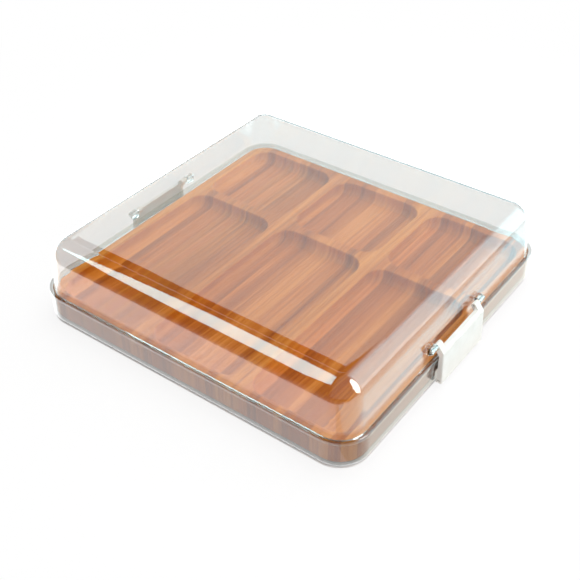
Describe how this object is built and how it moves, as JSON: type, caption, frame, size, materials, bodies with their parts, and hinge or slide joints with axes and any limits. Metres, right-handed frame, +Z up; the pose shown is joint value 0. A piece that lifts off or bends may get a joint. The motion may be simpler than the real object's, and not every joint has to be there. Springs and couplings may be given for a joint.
{
  "type": "lidded divided serving tray",
  "caption": "Low rectangular serving tray: a carved wooden board with divided pockets in a clear base, under a clear domed lid held by side latches.",
  "frame": {"origin": "centre of the base tray's underside, on the table", "axes": "+Z up, +X along the front edge towards the right-hand latch, -Y towards the front, the side with the longer pockets"},
  "size_m": [0.3118, 0.293, 0.069],
  "materials": {
    "clear_plastic": "clear, polished",
    "laminated_wood": "oiled, satin",
    "latch_plastic": "satin off-white",
    "pin_steel": "drawn steel"
  },
  "bodies": {
    "base": {"base_tray": "clear_plastic"},
    "board": {"serving_board": "laminated_wood"},
    "cover": {"lid": "clear_plastic", "latch_pin_right": "pin_steel", "latch_pin_right_back": "pin_steel", "latch_pin_left": "pin_steel", "latch_pin_left_back": "pin_steel"},
    "right_latch": {"latch_right": "latch_plastic"},
    "left_latch": {"latch_left": "latch_plastic"}
  },
  "joints": [
    {"name": "board_lift", "type": "slide", "parent": "base", "child": "board", "axis": [0, 0, 1], "range_m": [0, 0.0232]},
    {"name": "lid_lift", "type": "slide", "parent": "board", "child": "cover", "axis": [0, 0, 1], "range_m": [0, 0.08]},
    {"name": "latch_right_hinge", "type": "hinge", "parent": "cover", "child": "right_latch", "pos_m": [0.14778, 0, 0.0365], "axis": [0, -1, 0], "range_deg": [0, 140]},
    {"name": "latch_left_hinge", "type": "hinge", "parent": "cover", "child": "left_latch", "pos_m": [-0.14778, 0, 0.0365], "axis": [0, 1, 0], "range_deg": [0, 140]}
  ]
}
